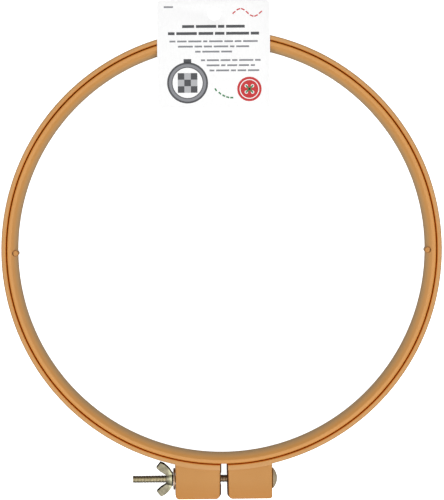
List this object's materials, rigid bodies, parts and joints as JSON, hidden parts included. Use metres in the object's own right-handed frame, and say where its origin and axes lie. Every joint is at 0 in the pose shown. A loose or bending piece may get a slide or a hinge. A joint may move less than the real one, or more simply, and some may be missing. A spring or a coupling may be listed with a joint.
{
  "type": "quilting hoop",
  "caption": "Round two-part quilting hoop with tongue and groove rims, a bolt and wing-nut clamp at its split, and a hang card.",
  "frame": {"origin": "on the hoop's axis, at the height of the surface that the hoop lies on", "axes": "+Z along the hoop's axis, up and away from the surface; +Y from the axis to the hang card at 12 o'clock, away from the clamp; +X towards the side of the clamp with the bolt's head"},
  "size_m": [0.3132, 0.3555, 0.0175],
  "materials": {
    "inner_hoop_plastic": "satin moulded tan plastic",
    "outer_hoop_plastic": "satin moulded tan plastic",
    "bolt_steel": "zinc plated, rolled thread",
    "washer_steel": "zinc plated",
    "wing_nut_metal": "cast and plated, satin",
    "card_board": "coated white paper board"
  },
  "bodies": {
    "clamped_half": {"outer_hoop_right": "outer_hoop_plastic", "carriage_bolt": "bolt_steel"},
    "swinging_half": {"outer_hoop_left": "outer_hoop_plastic"},
    "inner_hoop": {"inner_hoop": "inner_hoop_plastic"},
    "washer": {"washer": "washer_steel"},
    "wing_nut": {"wing_nut": "wing_nut_metal"},
    "hang_card": {"card_front": "card_board", "card_back": "card_board"}
  },
  "joints": [
    {"name": "clamp_travel", "type": "slide", "parent": "clamped_half", "child": "washer", "axis": [-1, 0, 0], "range_m": [-0.0011, 0.0128]},
    {"name": "wing_nut_turn", "type": "hinge", "parent": "washer", "child": "wing_nut", "pos_m": [-0.0363, -0.1645, 0.00875], "axis": [-1, 0, 0], "range_deg": [-360, 4320]},
    {"name": "outer_hoop_flex", "type": "hinge", "parent": "clamped_half", "child": "swinging_half", "pos_m": [0, 0.1549, 0.00875], "axis": [0, 0, -1], "range_deg": [-0.2, 2.3]},
    {"name": "inner_hoop_turn", "type": "hinge", "parent": "clamped_half", "child": "inner_hoop", "pos_m": [0, 0, 0.00875], "axis": [0, 0, 1], "continuous": true},
    {"name": "card_slide", "type": "hinge", "parent": "clamped_half", "child": "hang_card", "pos_m": [0, 0, 0.00875], "axis": [0, 0, 1], "range_deg": [-10, 10]}
  ],
  "couplings": [
    {"joint": "clamp_travel", "follows": "wing_nut_turn", "m_per_rad": 0.00016844},
    {"joint": "outer_hoop_flex", "follows": "wing_nut_turn", "ratio": 0.00051487}
  ]
}
